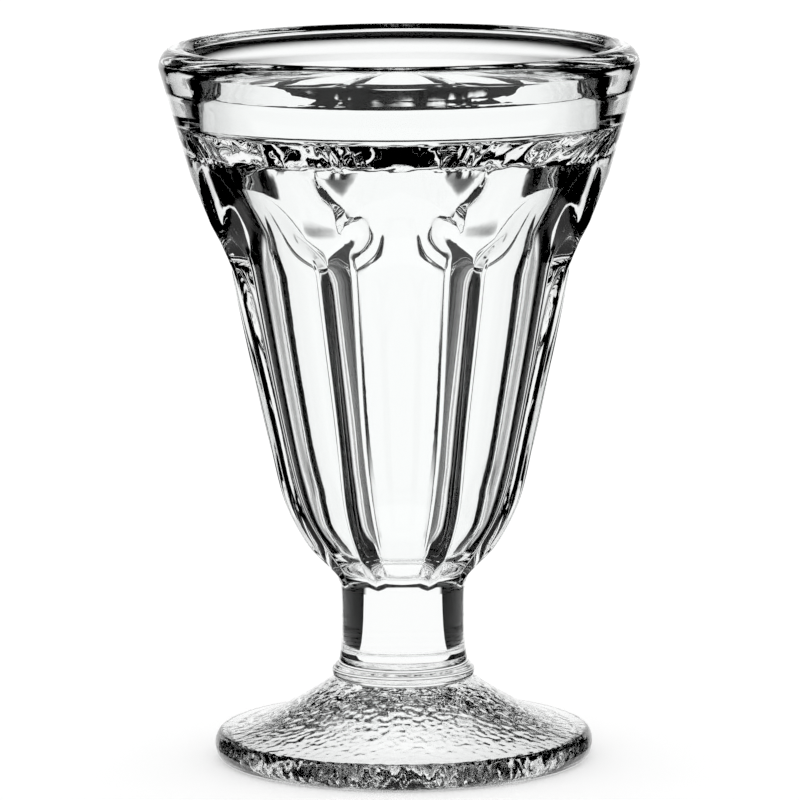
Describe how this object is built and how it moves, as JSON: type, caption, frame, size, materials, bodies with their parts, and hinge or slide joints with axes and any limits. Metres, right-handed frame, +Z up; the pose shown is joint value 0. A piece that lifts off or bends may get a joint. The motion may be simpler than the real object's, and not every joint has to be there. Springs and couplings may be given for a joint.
{
  "type": "sundae glass",
  "caption": "Footed sundae glass: fluted tulip bowl with a thick round rim and an inside stacking ledge, on a short solid stem, a rounded collar and a hollow domed foot.",
  "frame": {"origin": "on the table, at the centre of the foot's standing ring", "axes": "+Z up along the axis of the glass; +X and +Y level, with the middle of a flute on -Y"},
  "size_m": [0.095, 0.095, 0.1418],
  "materials": {
    "clear_glass": "fire-polished, clear",
    "stippled_glass": "clear, with a fine pressed stipple"
  },
  "bodies": {
    "root": {"foot": "stippled_glass", "collar": "clear_glass", "stem": "clear_glass", "bowl": "clear_glass"}
  },
  "joints": []
}
